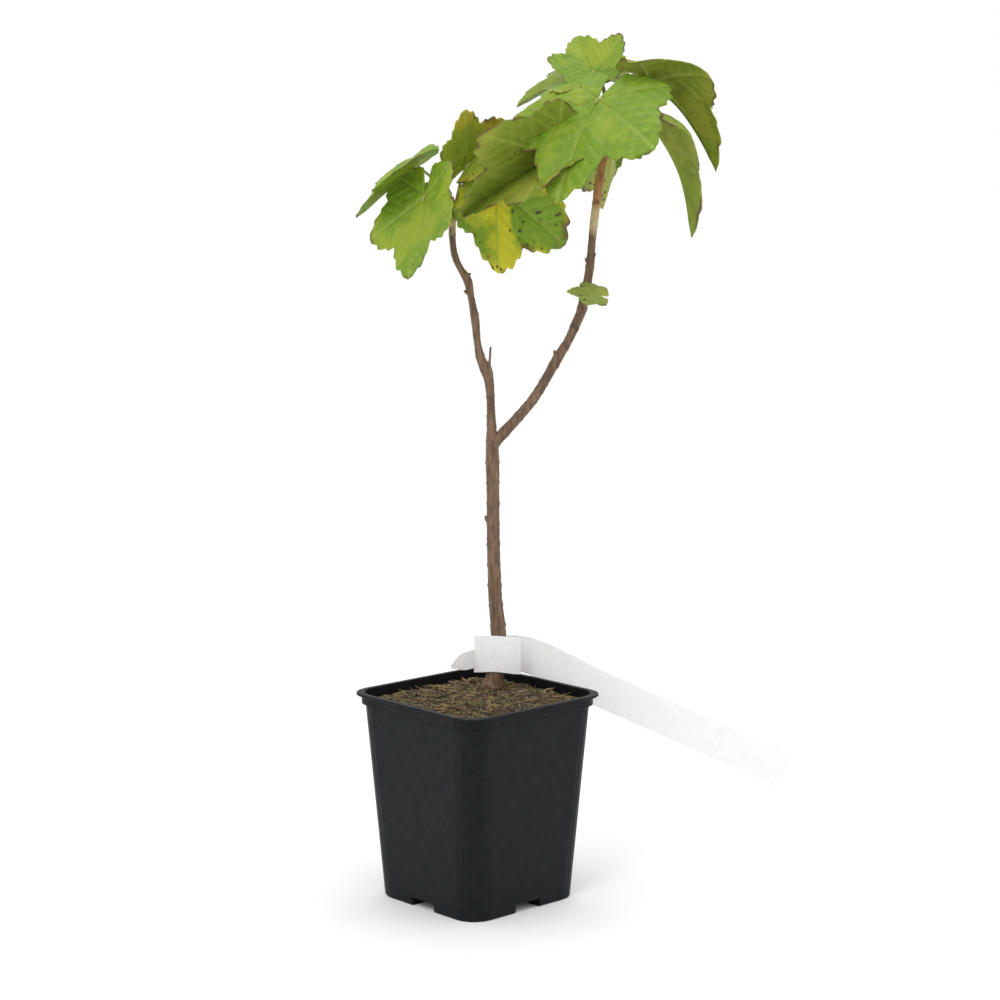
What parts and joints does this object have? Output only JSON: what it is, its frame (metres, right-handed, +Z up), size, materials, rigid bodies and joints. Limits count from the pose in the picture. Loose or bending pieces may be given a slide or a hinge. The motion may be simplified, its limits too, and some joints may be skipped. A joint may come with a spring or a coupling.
{
  "type": "potted blackcurrant bush",
  "caption": "Young blackcurrant bush with two leafy boughs in a square plastic nursery pot, with a looped blank plant label.",
  "frame": {"origin": "centre of the bounding box in plan, at the level of the pot's feet", "axes": "+Z up along the trunk, -Y towards the viewer of the picture, +X to that viewer's right"},
  "size_m": [0.219, 0.126, 0.4196],
  "materials": {
    "pot_plastic": "satin black",
    "bark": "thin brown bark with pale leaf scars",
    "compost_fibre": "loose fibrous compost",
    "leaf_green": "soft green leaf with yellowing and dark spots",
    "label_white": "smooth white film"
  },
  "bodies": {
    "root": {"pot": "pot_plastic", "compost": "compost_fibre", "trunk": "bark", "bough_left_lower": "bark", "bough_left_upper": "bark", "bough_right_lower": "bark", "bough_right_upper": "bark", "foliage_left": "leaf_green", "foliage_right": "leaf_green", "foliage_bud_leaf": "leaf_green", "plant_label": "label_white"}
  },
  "joints": []
}
